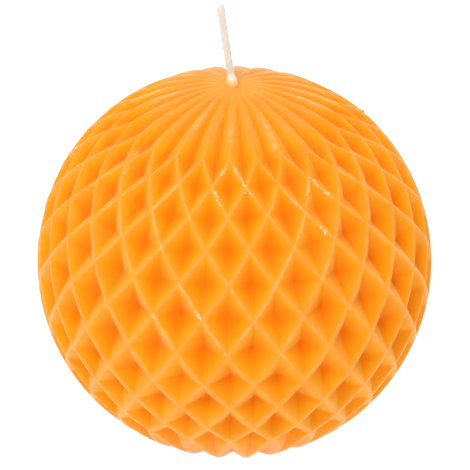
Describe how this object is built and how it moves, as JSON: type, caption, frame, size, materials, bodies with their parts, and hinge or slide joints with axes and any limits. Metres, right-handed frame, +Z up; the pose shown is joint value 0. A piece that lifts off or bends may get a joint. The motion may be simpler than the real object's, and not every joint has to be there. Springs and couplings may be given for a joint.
{
  "type": "honeycomb ball candle",
  "caption": "Cast wax ball candle with diamond honeycomb relief, fluted top and flat base, with a plaited cotton wick through its axis.",
  "frame": {"origin": "centre of the flat base that the candle stands on", "axes": "+Z up through the ball's pole and the wick; -Y is the front, where a ridge crossing of the relief lies; the wick's free end leans towards -X"},
  "size_m": [0.085, 0.085, 0.0963],
  "materials": {
    "ball_wax": "satin",
    "fill_wax": "matte",
    "primer_wax": "satin",
    "cotton": "matte"
  },
  "bodies": {
    "root": {"wax_ball": "ball_wax", "base_top_up": "fill_wax", "wick_wax_coat": "primer_wax", "wick_strand_1": "cotton", "wick_strand_2": "cotton", "wick_strand_3": "cotton"}
  },
  "joints": []
}
